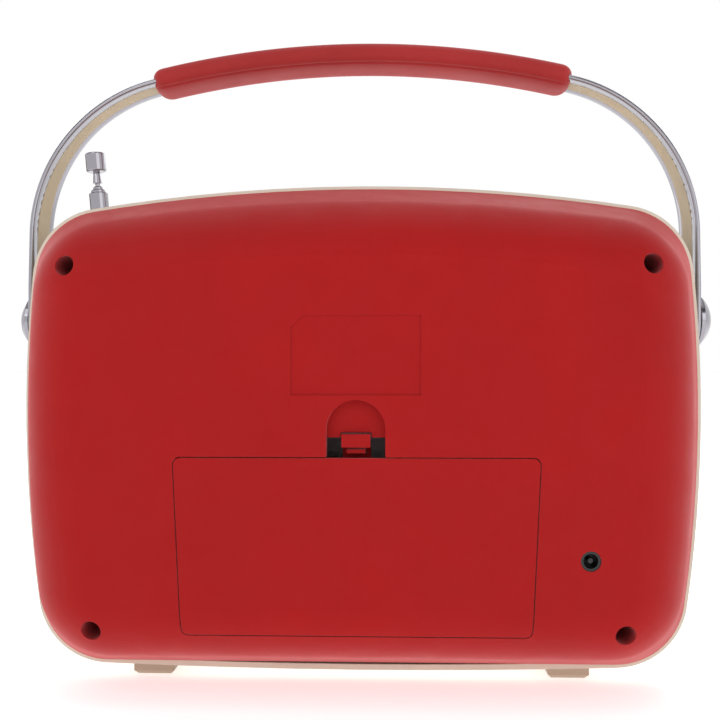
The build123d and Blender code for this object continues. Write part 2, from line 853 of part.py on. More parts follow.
# ================================================================ cassette deck
def make_cassette_door():
    """Door with a window opening and a holder behind it for the cassette."""
    f = front_y
    left = bay_x - door_half
    right = bay_x + door_half
    door = block(left, right, f, f + cover_thickness, cover_bottom, cover_top)
    door = chamfer(door.faces().sort_by(Axis.Y)[0].edges(), 0.8)
    low = cassette_bottom + 8
    door -= block(left + 16, right - 16, f - 1, f + 5, low + 6, cover_top - 16)
    back = f + cover_thickness
    pocket_half = cassette_width / 2 + 1
    for side in (-1, 1):
        x0 = bay_x + side * pocket_half
        x1 = x0 + side * cheek_width
        door += block(x0, x1, back - 0.5, back + cheek_depth + 2, cassette_bottom, cover_top - 12)
        lip = x0 - side * 6
        lip_y = back + cheek_depth + 0.6
        door += block(lip, x1, lip_y, lip_y + 1.4, cassette_bottom + 20, cover_top - 30)
        lug0 = bay_x + side * (door_half - 3.4)
        lug1 = bay_x + side * (door_half - 0.2)
        door += block(lug0, lug1, back - 0.5, cover_hinge_y + 2.6, cover_hinge_z - 2.2, cover_hinge_z + 8)
        shelf = x0 - side * 5
        door += block(shelf, x1, back - 0.5, back + cheek_depth, cassette_bottom - 1.6, cassette_bottom)
        ends = cover_pin_ends(side)
        hole = cover_pin_radius + fit
        door -= rod_x(cover_hinge_y, cover_hinge_z, hole, ends[0] - 4, ends[1])
    return door


def make_door_window():
    """Clear pane of the cassette door."""
    left = bay_x - door_half + 16
    right = bay_x + door_half - 16
    f = front_y + 0.6
    low = cassette_bottom + 14
    return block(left, right, f, f + 1.8, low, cover_top - 16)


def make_deck_plate():
    """Steel plate that carries the transport, with bores for its shafts."""
    back = deck_y + deck_thickness
    plate = block(deck_left, deck_right, deck_y, back, deck_bottom, deck_top)
    plate = fillet(plate.edges().filter_by(Axis.Y), 4)
    for side in (-1, 1):
        plate -= rod_y(bay_x + side * hub_spacing / 2, hub_z, spindle_pin_radius + fit, deck_y - 1, back + 1)
        gx = carriage_x + side * guide_half_spacing
        plate += rod_y(gx, carriage_middle(), guide_radius, deck_y - 3, deck_y)
        plate += rod_y(gx, carriage_middle(), guide_radius + 1, deck_y - 3.6, deck_y - 2.2)
    plate -= rod_y(capstan_x, capstan_z, capstan_radius + fit, deck_y - 1, back + 1)
    plate += rod_y(arm_pivot_x, arm_pivot_z, 1.5, deck_y - 9, deck_y)
    idler = idler_place()
    plate += rod_y(idler[0], idler[1], 1.0, back, back + 6)
    return plate


def carriage_middle():
    """Height of the guide pins that the head carriage slides on."""
    return (carriage_bottom + carriage_top) / 2


def make_motor():
    """Drive motor standing behind the deck plate, bored for its shaft."""
    f = deck_y + deck_thickness
    can = rod_y(motor_x, motor_z, motor_radius, f, f + motor_length)
    can = fillet(can.edges().filter_by(GeomType.CIRCLE).group_by(Axis.Y)[-1], 1.5)
    return can - rod_y(motor_x, motor_z, 1.0 + fit, f + 4, f + motor_length + 1)


def belt_plane():
    """Depth of the middle of the drive belt."""
    return flywheel_front + flywheel_thickness / 2


def make_motor_pulley():
    """Small grooved wheel on the motor's shaft."""
    f = deck_y + deck_thickness + motor_length + 0.4
    b = flywheel_front + flywheel_thickness
    pulley = rod_y(motor_x, motor_z, motor_pulley + 1, f, b)
    mid = belt_plane()
    pulley -= tube_y(motor_x, motor_z, motor_pulley + 3, motor_pulley, mid - 1.1, mid + 1.1)
    return pulley + rod_y(motor_x, motor_z, 1.0, f - 10, f)


def make_flywheel():
    """Heavy wheel with a belt groove, its drive hub and the capstan shaft."""
    b = flywheel_front + flywheel_thickness
    wheel = rod_y(capstan_x, capstan_z, flywheel_radius + 1, flywheel_front, b)
    mid = belt_plane()
    wheel -= tube_y(capstan_x, capstan_z, flywheel_radius + 3, flywheel_radius, mid - 1.1, mid + 1.1)
    wheel += rod_y(capstan_x, capstan_z, flywheel_hub, wheel_front, flywheel_front)
    return wheel + rod_y(capstan_x, capstan_z, capstan_radius, spindle_tip_y, b + 1.5)


def make_drive_belt():
    """Square belt around the motor pulley and the flywheel."""
    small = motor_pulley + wheel_gap
    large = flywheel_radius + wheel_gap
    inner = belt_loop(small, large)
    outer = belt_loop(small + 2 * belt_radius, large + 2 * belt_radius)
    mid = belt_plane()
    return prism(outer - inner, mid - belt_radius, mid + belt_radius)


def belt_loop(small, large):
    """Area inside a loop drawn tight around both pulleys."""
    span_x = capstan_x - motor_x
    span_z = capstan_z - motor_z
    span = math.hypot(span_x, span_z)
    lean = math.atan2(span_z, span_x)
    open_angle = math.asin((large - small) / span)
    corners = []
    for sign in (1, -1):
        angle = lean + sign * (math.pi / 2 + open_angle)
        near = (motor_x + small * math.cos(angle), motor_z + small * math.sin(angle))
        far = (capstan_x + large * math.cos(angle), capstan_z + large * math.sin(angle))
        corners += [near, far] if sign > 0 else [far, near]
    middle = make_face(Polyline(*corners, close=True))
    return middle + Pos(motor_x, motor_z) * Circle(small) + Pos(capstan_x, capstan_z) * Circle(large)


def idler_place():
    """Centre and radius of the wheel between the flywheel's hub and the take-up wheel."""
    hub_x = bay_x + hub_spacing / 2
    dx = hub_x - capstan_x
    dz = hub_z - capstan_z
    apart = math.hypot(dx, dz)
    radius = (apart - flywheel_hub - takeup_wheel) / 2 - wheel_gap
    along = (flywheel_hub + wheel_gap + radius) / apart
    return capstan_x + dx * along, capstan_z + dz * along, radius


def make_idler_wheel():
    """Rubber-edged wheel that passes the drive to the take-up side."""
    x, z, radius = idler_place()
    return tube_y(x, z, radius, 1.0 + fit, wheel_front, wheel_front + wheel_thickness)


def make_spindle(side):
    """Spindle with six ribs in front of the plate and a wheel behind it."""
    x = bay_x + side * hub_spacing / 2
    spindle = rod_y(x, hub_z, spindle_radius, spindle_tip_y, deck_y - 0.6)
    spindle = chamfer(spindle.edges().filter_by(GeomType.CIRCLE).group_by(Axis.Y)[0], 1.0)
    for i in range(6):
        angle = math.pi * i / 3
        cx = x + (spindle_radius - 0.3) * math.cos(angle)
        cz = hub_z + (spindle_radius - 0.3) * math.sin(angle)
        spindle += rod_y(cx, cz, 0.8, spindle_tip_y + 1.5, deck_y - 4)
    spindle += rod_y(x, hub_z, spindle_pin_radius, deck_y - 1, wheel_front)
    spindle += rod_y(x, hub_z, takeup_wheel, wheel_front, wheel_front + wheel_thickness)
    return spindle


def make_head_carriage():
    """Plate that lifts the tape head, with two guide slots."""
    back = deck_y - 0.2
    front = back - 1.4
    left = carriage_x - carriage_half
    right = carriage_x + carriage_half
    plate = block(left, right, front, back, carriage_bottom, carriage_top)
    for side in (-1, 1):
        x = carriage_x + side * guide_half_spacing
        z = carriage_middle()
        slot = guide_radius + 0.1
        plate -= block(x - slot, x + slot, front - 1, back + 1, z - carriage_travel - slot, z + slot)
    bar = guide_half_spacing - guide_radius - 1.5
    return plate + block(carriage_x - bar, carriage_x + bar, front - 3, front, carriage_top - 3, carriage_top)


def make_tape_head():
    """Block of the tape head with its rounded nose upward."""
    low = carriage_top
    head = block(bay_x - head_half, bay_x + head_half, -34.0, -24.6, low - 3, low + 3.6)
    top = head.edges().filter_by(Axis.Y).group_by(Axis.Z)[-1]
    head = fillet(top, 2.4)
    return head - block(carriage_x - 30, carriage_x + 30, -26.6, -20, low - 3.1, low)


def make_pinch_arm():
    """Arm that swings the pinch roller up to the capstan."""
    y0 = deck_y - 2.6
    y1 = deck_y - 0.6
    roller_x = arm_pivot_x - arm_length
    arm = block(roller_x, arm_pivot_x, y0, y1, arm_pivot_z - 3, arm_pivot_z + 3)
    arm += rod_y(arm_pivot_x, arm_pivot_z, 4, y0 - 3, y1)
    arm += rod_y(roller_x, arm_pivot_z, 3, y0, y1)
    arm += rod_y(roller_x, arm_pivot_z, 1.2, y0 - roller_width - 1.2, y0)
    return arm - rod_y(arm_pivot_x, arm_pivot_z, 1.5 + fit, y0 - 5, y1 + 1)


def make_pinch_roller():
    """Rubber roller on the arm's pin."""
    y1 = deck_y - 2.6 - 0.4
    x = arm_pivot_x - arm_length
    return tube_y(x, arm_pivot_z, roller_radius, 1.2 + fit, y1 - roller_width, y1)


# ================================================================ electronics
def make_main_board():
    """Circuit board across the top of the case, with its larger parts."""
    y = board_y
    top = board_bottom + board_height
    board = block(board_left, board_right, y, y + board_thickness, board_bottom, top)
    for i in range(5):
        x = board_left + 14 + 34 * i
        board += rod_y(x, top - 8, 4.0, y - 11, y)
        board += rod_y(x + 14, board_bottom + 8, 2.6, y - 8, y)
    for i in range(3):
        x = board_left + 32 + 48 * i
        low = board_bottom + 14
        board += block(x - 9, x + 9, y - 4, y, low, low + 7)
        board += block(x + 14, x + 22, y - 9, y, low + 2, low + 10)
    return board


def make_ferrite_rod():
    """Aerial rod across the top, with its coil."""
    rod = rod_x(ferrite_y, ferrite_z, ferrite_radius, -ferrite_half, ferrite_half)
    return rod + rod_x(ferrite_y, ferrite_z, ferrite_coil_radius, -38, 2)


# ================================================================ handle
def strip(outer, inner):
    """Area between two offsets of the handle's path, positive outward."""
    return handle_area(outer) - handle_area(inner)


def handle_area(out):
    """Area under the handle's path moved outward by a distance, down to the pivots."""
    crown_z = handle_top - handle_crown_radius
    crown = handle_crown_radius + out
    bend = handle_bend_radius + out
    bend_x = pivot_x - handle_bend_radius
    reach = handle_crown_radius - handle_bend_radius
    bend_z = crown_z + math.sqrt(reach ** 2 - bend_x ** 2)
    side = pivot_x + out
    meet_x = bend_x * crown / reach
    meet_z = crown_z + (bend_z - crown_z) * crown / reach
    slant = math.atan2(bend_z - crown_z, bend_x) / 2
    mid = (bend_x + bend * math.cos(slant), bend_z + bend * math.sin(slant))
    top = (0, crown_z + crown)
    low = pivot_z
    lines = [
        Line((-side, low), (side, low)),
        Line((side, low), (side, bend_z)),
        ThreePointArc((side, bend_z), mid, (meet_x, meet_z)),
        ThreePointArc((meet_x, meet_z), top, (-meet_x, meet_z)),
        ThreePointArc((-meet_x, meet_z), (-mid[0], mid[1]), (-side, bend_z)),
        Line((-side, bend_z), (-side, low)),
    ]
    return make_face(Curve() + lines)


def band_side(inset=0.0):
    """Edge view of the band: round at the pivot, wide low down and narrower at the grip."""
    wide = band_half_wide - inset
    narrow = band_half_narrow - inset
    top = handle_top + 20
    corners = [
        (pivot_y - wide, pivot_z), (pivot_y + wide, pivot_z), (pivot_y + wide, band_wide_until),
        (pivot_y + narrow, band_narrow_from), (pivot_y + narrow, top),
        (pivot_y - narrow, top), (pivot_y - narrow, band_narrow_from),
        (pivot_y - wide, band_wide_until),
    ]
    return make_face(Polyline(*corners, close=True))


def handle_strip(outer, inner, inset):
    """A bent strip between two offsets of the path, as wide as the band less an inset."""
    body = prism(strip(outer, inner), pivot_y - 30, pivot_y + 30)
    reach = pivot_x + 10
    profile = extrude(Pos(-reach, 0, 0) * (Plane.YZ * band_side(inset)), amount=2 * reach)
    return body & profile


def make_handle_band():
    """Bright channel-section band from pivot to pivot, with a round eye at each end."""
    half = band_thickness / 2
    band = handle_strip(half, -half, 0)
    for side in (-1, 1):
        ends = sorted((side * (pivot_x - half), side * (pivot_x + half)))
        band += rod_x(pivot_y, pivot_z, band_half_wide, ends[0], ends[1])
    band -= liner_space()
    for side in (-1, 1):
        ends = sorted((side * (pivot_x - 6), side * (pivot_x + 6)))
        band -= rod_x(pivot_y, pivot_z, shoulder_radius + fit, ends[0], ends[1])
    return band


def liner_space():
    """The channel inside the band, above the pivot washers."""
    half = band_thickness / 2
    space = handle_strip(-half + liner_thickness, -half, flange)
    start = pivot_z + washer_radius + 2.5
    reach = 2 * pivot_x
    return space & block(-reach, reach, -reach, reach, start, 2 * handle_top)


def make_handle_liner():
    """Plain lining strip in the band's channel."""
    return liner_space()


def make_handle_grip():
    """Soft grip around the crown of the handle, with round ends and a parting groove."""
    crown_z = handle_top - handle_crown_radius
    centre = Axis((0, 0, crown_z), (0, 1, 0))
    section = RectangleRounded(grip_depth, grip_height, grip_round)
    section = Pos(0, pivot_y, handle_top) * (Plane.YZ * section)
    section = section.rotate(centre, -grip_half_angle)
    grip = revolve(section, centre, 2 * grip_half_angle)
    ends = grip.faces().filter_by(GeomType.PLANE).sort_by(Axis.X)
    outline = ends[0].edges() + ends[-1].edges()
    grip = fillet(outline, grip_end_round)
    half = band_thickness / 2
    return grip - handle_strip(half, -half, 0)


def make_pivot_cap(side):
    """Domed cover over a pivot bolt, hollow for the bolt's head."""
    rise = cap_height - cap_rim
    dome_radius = (cap_radius ** 2 + rise ** 2) / (2 * rise)
    half = cap_radius / 2
    sag = dome_radius - math.sqrt(dome_radius ** 2 - half ** 2)
    outline = [
        Line((bolt_head_radius, 0), (cap_radius, 0)),
        Line((cap_radius, 0), (cap_radius, cap_rim)),
        ThreePointArc((cap_radius, cap_rim), (half, cap_height - sag), (0, cap_height)),
        Line((0, cap_height), (0, bolt_head_height)),
        Line((0, bolt_head_height), (bolt_head_radius, bolt_head_height)),
        Line((bolt_head_radius, bolt_head_height), (bolt_head_radius, 0)),
    ]
    cap = revolve(make_face(Curve() + outline), Axis.Y)
    foot = pivot_x + band_thickness / 2 + washer_gap
    return Pos(side * foot, pivot_y, pivot_z) * Rot(0, 0, -90 * side) * cap


def make_pivot_bolts():
    """Shoulder bolts that the handle turns on."""
    bolts = []
    foot = pivot_x + band_thickness / 2 + washer_gap
    for side in (-1, 1):
        head = sorted((side * foot, side * (foot + bolt_head_height)))
        shoulder = sorted((side * pad_face_x, side * foot))
        shank = sorted((side * (pivot_x - 15), side * pad_face_x))
        bolt = rod_x(pivot_y, pivot_z, bolt_head_radius, head[0], head[1])
        bolt += rod_x(pivot_y, pivot_z, shoulder_radius, shoulder[0], shoulder[1])
        bolt += rod_x(pivot_y, pivot_z, bolt_radius, shank[0], shank[1])
        bolts.append(bolt)
    return group(bolts)


def make_pivot_washers():
    """Friction washers between the handle's eyes and the pads on the case."""
    washers = []
    bore = rod_x(pivot_y, pivot_z, shoulder_radius, -pivot_x, pivot_x)
    for side in (-1, 1):
        ends = sorted((side * pad_face_x, side * (pad_face_x + washer_thickness)))
        washer = rod_x(pivot_y, pivot_z, washer_radius, ends[0], ends[1])
        washers.append(washer - bore)
    return group(washers)


# ================================================================ antenna
def make_antenna_section(index):
    """One chromed tube of the antenna; each slides in the one before it."""
    top = base_top + index * section_step
    radius = tube_radii[index]
    tube = antenna_cylinder(radius, base_low + index * section_step, top)
    rim = tube.edges().filter_by(GeomType.CIRCLE).sort_by(Axis.Z)[-1:]
    tube = chamfer(rim, 0.35)
    bore = tube_radii[index] - tube_wall
    floor = base_low + index * section_step + tube_floor
    return tube - antenna_cylinder(bore, floor, top + 5)


def make_antenna_rod():
    """Innermost rod of the antenna."""
    return antenna_cylinder(rod_radius, base_low + 3 * section_step, -tip_height)


def make_antenna_tip():
    """Knob on the end of the rod, with a cone below it."""
    knob = antenna_cylinder(tip_radius, -tip_height, 0)
    knob = fillet(knob.edges().filter_by(GeomType.CIRCLE), tip_round)
    cone = antenna_place() * Pos(0, 0, -tip_height - tip_neck / 2) * Cone(1.9, 1.4, tip_neck)
    cone -= antenna_cylinder(rod_radius, -tip_height - tip_neck - 1, -tip_height)
    return knob + cone


# ================================================================ build
def main():
    rear_outer = rear_solid()
    rear_hollow = rear_solid(wall)
    front_outer = front_solid()
    front_hollow = front_solid(wall)

    save("rear_shell", make_rear_shell(rear_outer, rear_hollow))
    save("battery_door", make_battery_door(rear_outer, rear_hollow))
    save("battery_latch", make_battery_latch())
    save("case_screws", make_case_screws())
    save("batteries", make_batteries())
    save("battery_contacts", make_battery_contacts())
    save("dc_jack", make_dc_jack())

    save("front_shell", make_front_shell(front_outer, front_hollow))
    save("feet", make_feet(front_outer))
    save("grille_ring", make_grille_ring())
    save("speaker_grille", make_speaker_grille())
    save("speaker_basket", make_speaker_basket())
    save("speaker_cone", make_speaker_cone())
    save("speaker_magnet", make_speaker_magnet())
    save("dial_scale", make_dial_scale())
    save("dial_window", make_dial_window())
    save("dial_pointer", make_dial_pointer())
    save("tuning_knob", make_knob(knob_x))
    save("volume_knob", make_knob(-knob_x))
    save("volume_pot", make_volume_pot())
    save("tuning_gang", make_tuning_gang())
    save("function_slider", make_slider(function_x))
    save("band_slider", make_slider(band_x))
    save("headphone_jack", make_headphone_jack())

    for index, name in enumerate(key_names):
        save(name, make_key(index))
    save("key_rod", make_key_rod())

    save("cassette_door", make_cassette_door())
    save("door_window", make_door_window())
    save("door_pins", make_door_pins())
    save("deck_plate", make_deck_plate())
    save("motor", make_motor())
    save("motor_pulley", make_motor_pulley())
    save("flywheel", make_flywheel())
    save("drive_belt", make_drive_belt())
    save("idler_wheel", make_idler_wheel())
    save("supply_spindle", make_spindle(-1))
    save("takeup_spindle", make_spindle(1))
    save("head_carriage", make_head_carriage())
    save("tape_head", make_tape_head())
    save("pinch_arm", make_pinch_arm())
    save("pinch_roller", make_pinch_roller())

    save("main_board", make_main_board())
    save("ferrite_rod", make_ferrite_rod())

    save("handle_band", make_handle_band())
    save("handle_liner", make_handle_liner())
    save("handle_grip", make_handle_grip())
    save("pivot_cap_left", make_pivot_cap(-1))
    save("pivot_cap_right", make_pivot_cap(1))
    save("pivot_bolts", make_pivot_bolts())
    save("pivot_washers", make_pivot_washers())

    save("antenna_bush", make_antenna_bush())
    save("antenna_base_tube", make_antenna_section(0))
    save("antenna_tube_2", make_antenna_section(1))
    save("antenna_tube_3", make_antenna_section(2))
    save("antenna_rod", make_antenna_rod())
    save("antenna_tip", make_antenna_tip())


main()
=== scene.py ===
import json
import math

import bmesh
import bpy
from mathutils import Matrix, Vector


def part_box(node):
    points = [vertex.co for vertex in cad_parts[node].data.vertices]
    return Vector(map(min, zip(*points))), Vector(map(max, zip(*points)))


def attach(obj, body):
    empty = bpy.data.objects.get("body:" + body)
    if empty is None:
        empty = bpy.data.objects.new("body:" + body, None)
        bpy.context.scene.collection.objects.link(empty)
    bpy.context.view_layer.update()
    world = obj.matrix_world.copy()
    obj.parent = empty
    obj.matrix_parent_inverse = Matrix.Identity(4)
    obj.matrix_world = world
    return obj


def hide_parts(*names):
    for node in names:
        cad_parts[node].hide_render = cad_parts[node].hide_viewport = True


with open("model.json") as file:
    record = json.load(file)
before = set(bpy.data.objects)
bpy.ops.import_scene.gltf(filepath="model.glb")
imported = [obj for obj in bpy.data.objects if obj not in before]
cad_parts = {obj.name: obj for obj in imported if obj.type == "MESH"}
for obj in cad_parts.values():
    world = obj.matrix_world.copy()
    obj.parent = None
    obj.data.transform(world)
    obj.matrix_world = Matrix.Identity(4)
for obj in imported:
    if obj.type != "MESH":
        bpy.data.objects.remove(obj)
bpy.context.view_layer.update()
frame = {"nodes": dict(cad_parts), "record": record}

# ---------------------------------------------------------------- camera, as behind the player
FOCAL = 48.0
SENSOR = 36.0
IMAGE_SIDE = 720
CAMERA_HEIGHT = 0.1287
CAMERA_DISTANCE = 0.400
SPLIT_Y = 0.011
CAMERA_YAW = math.radians(2.0)
SHIFT_RIGHT = 0.5
SHIFT_UP = 10


def add_object(name, data):
    """New object in the scene that holds a mesh, light, camera or curve."""
    made = bpy.data.objects.new(name, data)
    bpy.context.scene.collection.objects.link(made)
    return made


def make_camera():
    """Camera behind the player, level, a little towards its -X side."""
    camera = bpy.data.cameras.new("camera")
    camera.lens = FOCAL
    camera.sensor_width = SENSOR
    camera.clip_start = 0.01
    camera.shift_x = SHIFT_RIGHT / IMAGE_SIDE
    camera.shift_y = SHIFT_UP / IMAGE_SIDE
    holder = add_object("camera", camera)
    aim = Vector((0, SPLIT_Y, CAMERA_HEIGHT))
    out = Vector((-math.sin(CAMERA_YAW), math.cos(CAMERA_YAW), 0))
    holder.location = aim + CAMERA_DISTANCE * out
    holder.rotation_euler = (-out).to_track_quat("-Z", "Y").to_euler()
    bpy.context.scene.camera = holder


# ---------------------------------------------------------------- materials
def linear(red, green, blue):
    """Colour given as 0-255 display values, as linear values."""
    def one(value):
        c = value / 255
        return c / 12.92 if c <= 0.04045 else ((c + 0.055) / 1.055) ** 2.4
    return (one(red), one(green), one(blue), 1.0)


def scaled(colour, factor):
    """A colour made lighter or darker."""
    return tuple(min(1.0, c * factor) for c in colour[:3]) + (1.0,)


EDGE_TURN = (0.995, 0.90)
CLEAR_BEND = 1.2


class Builder:
    """Adds nodes to one material and joins them."""

    def __init__(self, name):
        self.material = bpy.data.materials.new(name)
        self.material.use_nodes = True
        self.tree = self.material.node_tree
        self.shader = self.tree.nodes["Principled BSDF"]
        self.place = self.tree.nodes.new("ShaderNodeTexCoord").outputs["Object"]

    def node(self, kind, **settings):
        made = self.tree.nodes.new(kind)
        for key, value in settings.items():
            setattr(made, key, value)
        return made

    def link(self, source, target):
        self.tree.links.new(source, target)

    def noise(self, size, detail=2.0, roughness=0.5, stretch=None):
        """Noise with features of about one size in metres."""
        made = self.node("ShaderNodeTexNoise")
        made.inputs["Scale"].default_value = 1 / size
        made.inputs["Detail"].default_value = detail
        made.inputs["Roughness"].default_value = roughness
        place = self.place
        if stretch:
            mapping = self.node("ShaderNodeMapping")
            mapping.inputs["Scale"].default_value = stretch
            self.link(place, mapping.inputs["Vector"])
            place = mapping.outputs["Vector"]
        self.link(place, made.inputs["Vector"])
        return made.outputs["Fac"]

    def ramp(self, source, low, high, a, b):
        """Maps a 0-1 value between two limits onto two colours."""
        made = self.node("ShaderNodeValToRGB")
        made.color_ramp.elements[0].position = low
        made.color_ramp.elements[0].color = a
        made.color_ramp.elements[1].position = high
        made.color_ramp.elements[1].color = b
        self.link(source, made.inputs["Fac"])
        return made.outputs["Color"]

    def span(self, source, low, high, a, b):
        """Maps a value between two limits onto two numbers."""
        made = self.node("ShaderNodeMapRange")
        made.inputs["From Min"].default_value = low
        made.inputs["From Max"].default_value = high
        made.inputs["To Min"].default_value = a
        made.inputs["To Max"].default_value = b
        self.link(source, made.inputs["Value"])
        return made.outputs["Result"]

    def worn(self, base, rounded, rubbed):
        """Mixes in a rubbed colour in broken patches along the edges."""
        flat = self.node("ShaderNodeNewGeometry").outputs["Normal"]
        turn = self.node("ShaderNodeVectorMath", operation="DOT_PRODUCT")
        self.link(flat, turn.inputs[0])
        self.link(rounded, turn.inputs[1])
        edge = self.span(turn.outputs["Value"], *EDGE_TURN, 0.0, 1.0)
        broken = self.span(self.noise(0.004, detail=5.0, roughness=0.7), 0.42, 0.62, 0.15, 0.8)
        amount = self.node("ShaderNodeMath", operation="MULTIPLY")
        self.link(edge, amount.inputs[0])
        self.link(broken, amount.inputs[1])
        mix = self.node("ShaderNodeMix", data_type="RGBA")
        self.link(amount.outputs[0], mix.inputs["Factor"])
        ends = [one for one in mix.inputs if one.type == "RGBA"]
        self.link(base, ends[0])
        ends[1].default_value = rubbed
        return next(out for out in mix.outputs if out.type == "RGBA")

    def bump(self, source, depth):
        """Bump of a height in metres."""
        made = self.node("ShaderNodeBump")
        made.inputs["Distance"].default_value = depth
        made.inputs["Strength"].default_value = 1.0
        self.link(source, made.inputs["Height"])
        self.link(made.outputs["Normal"], self.shader.inputs["Normal"])
        return made


def surface(name, colour, roughness, metallic=0.0, grain=0.0006, depth=0.00002,
            mottle=0.08, spread=0.08, sheen=0.0, specular=0.5, brushed=None,
            rounding=0.0, wear=0.0, haze=(1, 1, 1, 1), glow=0.0):
    """Coloured surface with soft mottling, fine grain, uneven gloss and softened, slightly worn edges."""
    b = Builder(name)
    soft = b.noise(0.035, detail=4.0, roughness=0.6)
    base = b.ramp(soft, 0.3, 0.7, scaled(colour, 1 - mottle), scaled(colour, 1 + mottle))
    patches = b.noise(0.012, detail=5.0, roughness=0.65, stretch=brushed)
    b.link(b.span(patches, 0.3, 0.7, roughness - spread, roughness + spread),
           b.shader.inputs["Roughness"])
    fine = b.noise(grain, detail=3.0, roughness=0.6, stretch=brushed)
    bump = b.bump(fine, depth)
    if rounding:
        round_edge = b.node("ShaderNodeBevel", samples=4)
        round_edge.inputs["Radius"].default_value = rounding
        b.link(round_edge.outputs["Normal"], bump.inputs["Normal"])
        if wear:
            base = b.worn(base, round_edge.outputs["Normal"], scaled(colour, 1 + wear))
    b.link(base, b.shader.inputs["Base Color"])
    b.shader.inputs["Metallic"].default_value = metallic
    b.shader.inputs["Sheen Weight"].default_value = sheen
    b.shader.inputs["Sheen Tint"].default_value = haze
    # Glow makes the surface give off light: it gives the floor its even brightness, and it is painted light
    # on the dial card.
    b.shader.inputs["Emission Color"].default_value = colour
    b.shader.inputs["Emission Strength"].default_value = glow
    b.shader.inputs["Specular IOR Level"].default_value = specular
    return b.material


def clear(name, tint, roughness=0.05, scuff=0.12):
    """Clear moulded plastic with a faint tint and fine scuffs."""
    b = Builder(name)
    b.shader.inputs["Base Color"].default_value = tint
    scuffs = b.noise(0.004, detail=6.0, roughness=0.7)
    b.link(b.span(scuffs, 0.35, 0.75, roughness, roughness + scuff), b.shader.inputs["Roughness"])
    b.shader.inputs["Transmission Weight"].default_value = 1.0
    b.shader.inputs["IOR"].default_value = CLEAR_BEND
    b.bump(b.noise(0.02, detail=2.0), 0.00004)
    return b.material


RED = linear(158, 5, 6)
RED_HAZE = (0.9, 0.28, 0.29, 1)
GRIP_RED = linear(158, 38, 38)
CREAM = linear(218, 208, 190)
BEIGE = linear(176, 158, 138)


def make_materials():
    """One material for each of the record's material slots."""
    return {
        "red_plastic": surface("red_plastic", RED, 0.55, grain=0.0009, depth=0.00003, mottle=0.04,
                               sheen=0.55, specular=0.15, rounding=0.0004, wear=0.5, haze=RED_HAZE),
        "cream_plastic": surface("cream_plastic", CREAM, 0.42, grain=0.0011, depth=0.00002, mottle=0.04,
                                 rounding=0.0006, wear=0.15),
        "foot_plastic": surface("foot_plastic", BEIGE, 0.62, grain=0.0012, depth=0.00003, rounding=0.0005),
        "red_rubber": surface("red_rubber", GRIP_RED, 0.62, grain=0.0007, depth=0.00004, sheen=0.5,
                              specular=0.2, haze=RED_HAZE),
        "chrome": surface("chrome", linear(160, 157, 164), 0.08, 1.0, grain=0.02, depth=0.00004,
                          mottle=0.05, spread=0.04, rounding=0.0005),
        "liner": surface("liner", linear(190, 170, 138), 0.5, grain=0.001, depth=0.00003, rounding=0.0004),
        "steel": surface("steel", linear(178, 178, 180), 0.34, 1.0, brushed=(1, 1, 12), mottle=0.06,
                         rounding=0.0003),
        "black_plastic": surface("black_plastic", linear(14, 14, 15), 0.2, spread=0.06, rounding=0.0003),
        "dark_plastic": surface("dark_plastic", linear(34, 34, 36), 0.5, rounding=0.0004, wear=0.8),
        "clear": clear("clear", linear(246, 249, 250)),
        "silver_mesh": surface("silver_mesh", linear(190, 190, 192), 0.32, 1.0, mottle=0.05,
                               rounding=0.0004),
        "paper": surface("paper", linear(46, 43, 42), 0.85, grain=0.0015, depth=0.0001, mottle=0.2),
        "magnet": surface("magnet", linear(60, 60, 64), 0.6, mottle=0.15),
        # Painted light: the dial card glows (glow=0.35) to brighten it where lamps don't reach inside the
        # case, though it is no lamp.
        "card": surface("card", linear(236, 228, 204), 0.7, mottle=0.05, glow=0.35),
        "pointer": surface("pointer", linear(200, 40, 24), 0.3, rounding=0.0002),
        "key_plastic": surface("key_plastic", linear(206, 196, 176), 0.35, mottle=0.04,
                               rounding=0.0006, wear=0.2),
        "board": surface("board", linear(40, 84, 44), 0.4, mottle=0.15),
        "ferrite": surface("ferrite", linear(58, 54, 52), 0.7),
        "cell": surface("cell", linear(170, 140, 60), 0.35, 0.7, mottle=0.1),
        "brass": surface("brass", linear(200, 168, 96), 0.3, 1.0, mottle=0.08, rounding=0.0003),
        "rubber": surface("rubber", linear(22, 22, 22), 0.75, grain=0.0008, depth=0.00005),
        "ink": surface("ink", linear(40, 36, 34), 0.5, mottle=0.1),
        "red_ink": surface("red_ink", linear(176, 30, 26), 0.5, mottle=0.1),
    }


def dress_nodes(materials):
    """Gives every CAD node the material of its slot."""
    for row in frame["record"]["subparts"]:
        node = frame["nodes"][row["node"]]
        node.data.materials.clear()
        node.data.materials.append(materials[row["material_slot"]])


# ---------------------------------------------------------------- swept handle pieces
BAND_HALF_THICKNESS = 0.0015
CROWN_RADIUS = 0.385
BEND_RADIUS = 0.069
EYE_RADIUS = 0.014
CROWN_HALF_WIDTH = 0.010
EYE_BLEND = 0.0005
CROWN_DROP = 0.030
FACE_CROWN = 0.0009
FACE_POWER = 2.2
RIM_RADIUS = 0.0011
CHANNEL_MARGIN = 0.0055
CHANNEL_DEPTH = 0.0014
CHANNEL_SLOPE = 0.0004
GRIP_SQUARENESS = 2.7
GRIP_END_SHARE = 0.30
GRIP_END_LENGTH = 0.0055
GROOVE_DEPTH = 0.0007
GROOVE_SPREAD = 3.6
GROOVE_ANGLES = (318, 222)


def handle_facts():
    """Places on the handle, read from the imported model."""
    low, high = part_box("handle_band")
    top = high.z - BAND_HALF_THICKNESS
    return {
        "y": (low.y + high.y) / 2,
        "reach_x": high.x - BAND_HALF_THICKNESS,
        "high_z": high.z,
        "top": top,
        "pivot_z": low.z + EYE_RADIUS,
        "crown_z": top - CROWN_RADIUS,
    }


